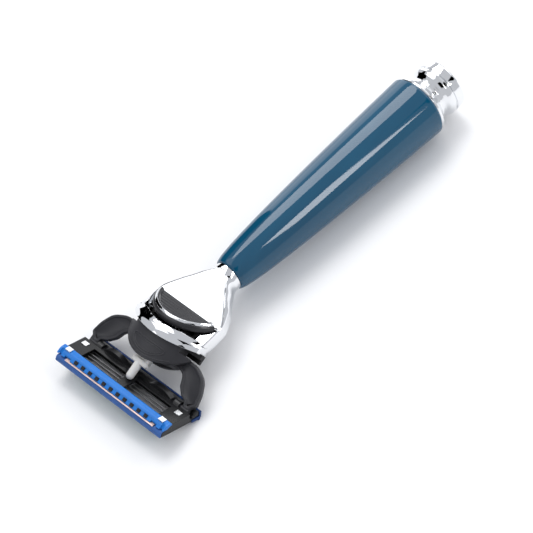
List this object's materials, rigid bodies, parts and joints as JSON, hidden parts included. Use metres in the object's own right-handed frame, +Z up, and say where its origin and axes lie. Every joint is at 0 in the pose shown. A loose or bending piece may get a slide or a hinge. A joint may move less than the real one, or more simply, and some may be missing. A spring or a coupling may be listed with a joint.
{
  "type": "cartridge razor",
  "caption": "Wet-shaving razor: resin handle with chrome head and finial, push button, sprung plunger, and a pivoting multi-blade cartridge on a detachable yoke.",
  "frame": {"origin": "centre of the footprint of the whole razor, on the surface it lies on, blades down", "axes": "+Y from the cartridge's nose to the tail of the handle, +X across the cartridge, +Z up"},
  "size_m": [0.042, 0.132, 0.0188],
  "materials": {
    "grip": "glossy petrol-blue cast resin",
    "chrome": "polished chrome plate",
    "steel": "plain steel",
    "seal": "black rubber",
    "black_plastic": "black moulded plastic",
    "button_plastic": "dark grey moulded plastic",
    "grey_plastic": "light grey moulded plastic",
    "yoke_plastic": "graphite satin plastic",
    "comb_blue": "bright blue moulded plastic",
    "lip_blue": "muted blue moulded plastic",
    "guard_blue": "navy elastomer",
    "strip": "pale green lubricating polymer",
    "aluminium": "bright rolled aluminium",
    "blade_steel": "honed blade steel",
    "trimmer_steel": "honed blade steel with a warm cast"
  },
  "bodies": {
    "handle": {"grip": "grip", "end_collar": "chrome", "end_cap": "chrome", "tie_rod": "steel", "rod_washer": "steel", "rod_nut": "steel", "front_seal": "seal", "rear_seal": "seal", "head_shell": "chrome", "dock_insert": "black_plastic", "lock_screw": "steel", "button_spring": "steel", "plunger_spring": "steel"},
    "button": {"release_button": "button_plastic", "ejector_fork": "black_plastic"},
    "plunger": {"plunger": "grey_plastic"},
    "yoke": {"yoke": "yoke_plastic"},
    "cartridge": {"cartridge_housing": "black_plastic", "trimmer_comb": "comb_blue", "trimmer_blade": "trimmer_steel", "cap_lip": "lip_blue", "lubricating_strip": "strip", "guard_strip": "guard_blue", "left_clip": "aluminium", "right_clip": "aluminium"},
    "blade_1_set": {"blade_1": "blade_steel", "blade_support_1": "steel"},
    "blade_2_set": {"blade_2": "blade_steel", "blade_support_2": "steel"},
    "blade_3_set": {"blade_3": "blade_steel", "blade_support_3": "steel"},
    "blade_4_set": {"blade_4": "blade_steel", "blade_support_4": "steel"},
    "blade_5_set": {"blade_5": "blade_steel", "blade_support_5": "steel"}
  },
  "joints": [
    {"name": "button_push", "type": "slide", "parent": "handle", "child": "button", "axis": [0, -0.9172, -0.3983], "range_m": [0, 0.002], "stiffness_N_per_m": 400, "springref_m": -0.002, "deforming": ["button_spring"]},
    {"name": "cartridge_release", "type": "slide", "parent": "button", "child": "yoke", "axis": [0, -0.9172, -0.3983], "range_m": [0, 0.016]},
    {"name": "cartridge_pivot", "type": "hinge", "parent": "yoke", "child": "cartridge", "pos_m": [0, -0.05452, 0.00326], "axis": [-1, 0, 0], "range_deg": [0, 40], "stiffness_Nm_per_rad": 0.004, "springref_deg": -34.38},
    {"name": "plunger_slide", "type": "slide", "parent": "handle", "child": "plunger", "axis": [0, 0.9172, 0.3983], "range_m": [0, 0.0028], "deforming": ["plunger_spring"]},
    {"name": "blade_1_float", "type": "slide", "parent": "cartridge", "child": "blade_1_set", "axis": [0, 0.375, 0.927], "range_m": [0, 0.0003], "stiffness_N_per_m": 2000, "springref_m": -0.0003},
    {"name": "blade_2_float", "type": "slide", "parent": "cartridge", "child": "blade_2_set", "axis": [0, 0.375, 0.927], "range_m": [0, 0.0003], "stiffness_N_per_m": 2000, "springref_m": -0.0003},
    {"name": "blade_3_float", "type": "slide", "parent": "cartridge", "child": "blade_3_set", "axis": [0, 0.375, 0.927], "range_m": [0, 0.0003], "stiffness_N_per_m": 2000, "springref_m": -0.0003},
    {"name": "blade_4_float", "type": "slide", "parent": "cartridge", "child": "blade_4_set", "axis": [0, 0.375, 0.927], "range_m": [0, 0.0003], "stiffness_N_per_m": 2000, "springref_m": -0.0003},
    {"name": "blade_5_float", "type": "slide", "parent": "cartridge", "child": "blade_5_set", "axis": [0, 0.375, 0.927], "range_m": [0, 0.0003], "stiffness_N_per_m": 2000, "springref_m": -0.0003}
  ],
  "couplings": [
    {"joint": "plunger_slide", "follows": "cartridge_pivot", "m_per_rad": 0.00401}
  ]
}
